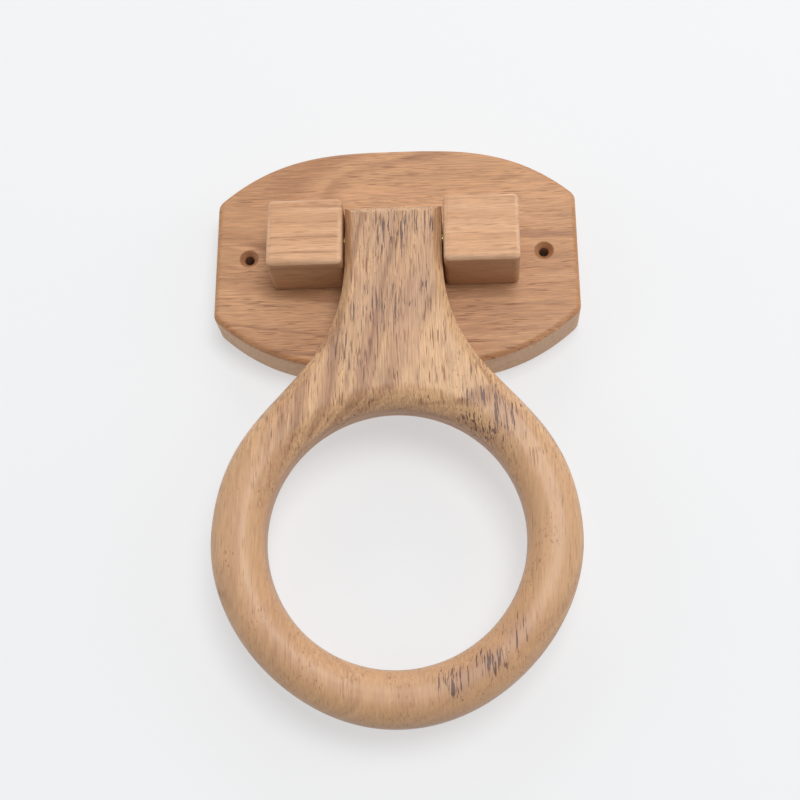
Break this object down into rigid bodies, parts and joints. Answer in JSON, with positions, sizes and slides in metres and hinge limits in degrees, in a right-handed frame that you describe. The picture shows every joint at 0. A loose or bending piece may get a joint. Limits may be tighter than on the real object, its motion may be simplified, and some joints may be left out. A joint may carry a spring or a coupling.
{
  "type": "wooden towel ring",
  "caption": "Wall-mounted wooden towel ring: a round ring and its flared neck in one board, hinged between blocks on a crowned back plate.",
  "frame": {"origin": "centre of the plate's back face, which lies against the wall", "axes": "+Z out from the wall, +Y up the wall towards the plate's upper edge, +X to the right as seen from the front, so the ring reaches towards -Y"},
  "size_m": [0.155, 0.2491, 0.0435],
  "materials": {
    "plate_wood": "oiled satin, grain across",
    "block_wood": "oiled satin, grain across",
    "ring_wood": "oiled satin, grain along the neck",
    "pin_brass": "drawn rod",
    "screw_steel": "zinc plated"
  },
  "bodies": {
    "bracket": {"back_plate": "plate_wood", "left_block": "block_wood", "right_block": "block_wood", "pivot_pin": "pin_brass", "block_screw_left_upper": "screw_steel", "block_screw_left_lower": "screw_steel", "block_screw_right_upper": "screw_steel", "block_screw_right_lower": "screw_steel"},
    "ring": {"towel_ring": "ring_wood"}
  },
  "joints": [
    {"name": "ring_pivot", "type": "hinge", "parent": "bracket", "child": "ring", "pos_m": [0, 0, 0.03135], "axis": [-1, 0, 0], "range_deg": [0, 84]}
  ]
}
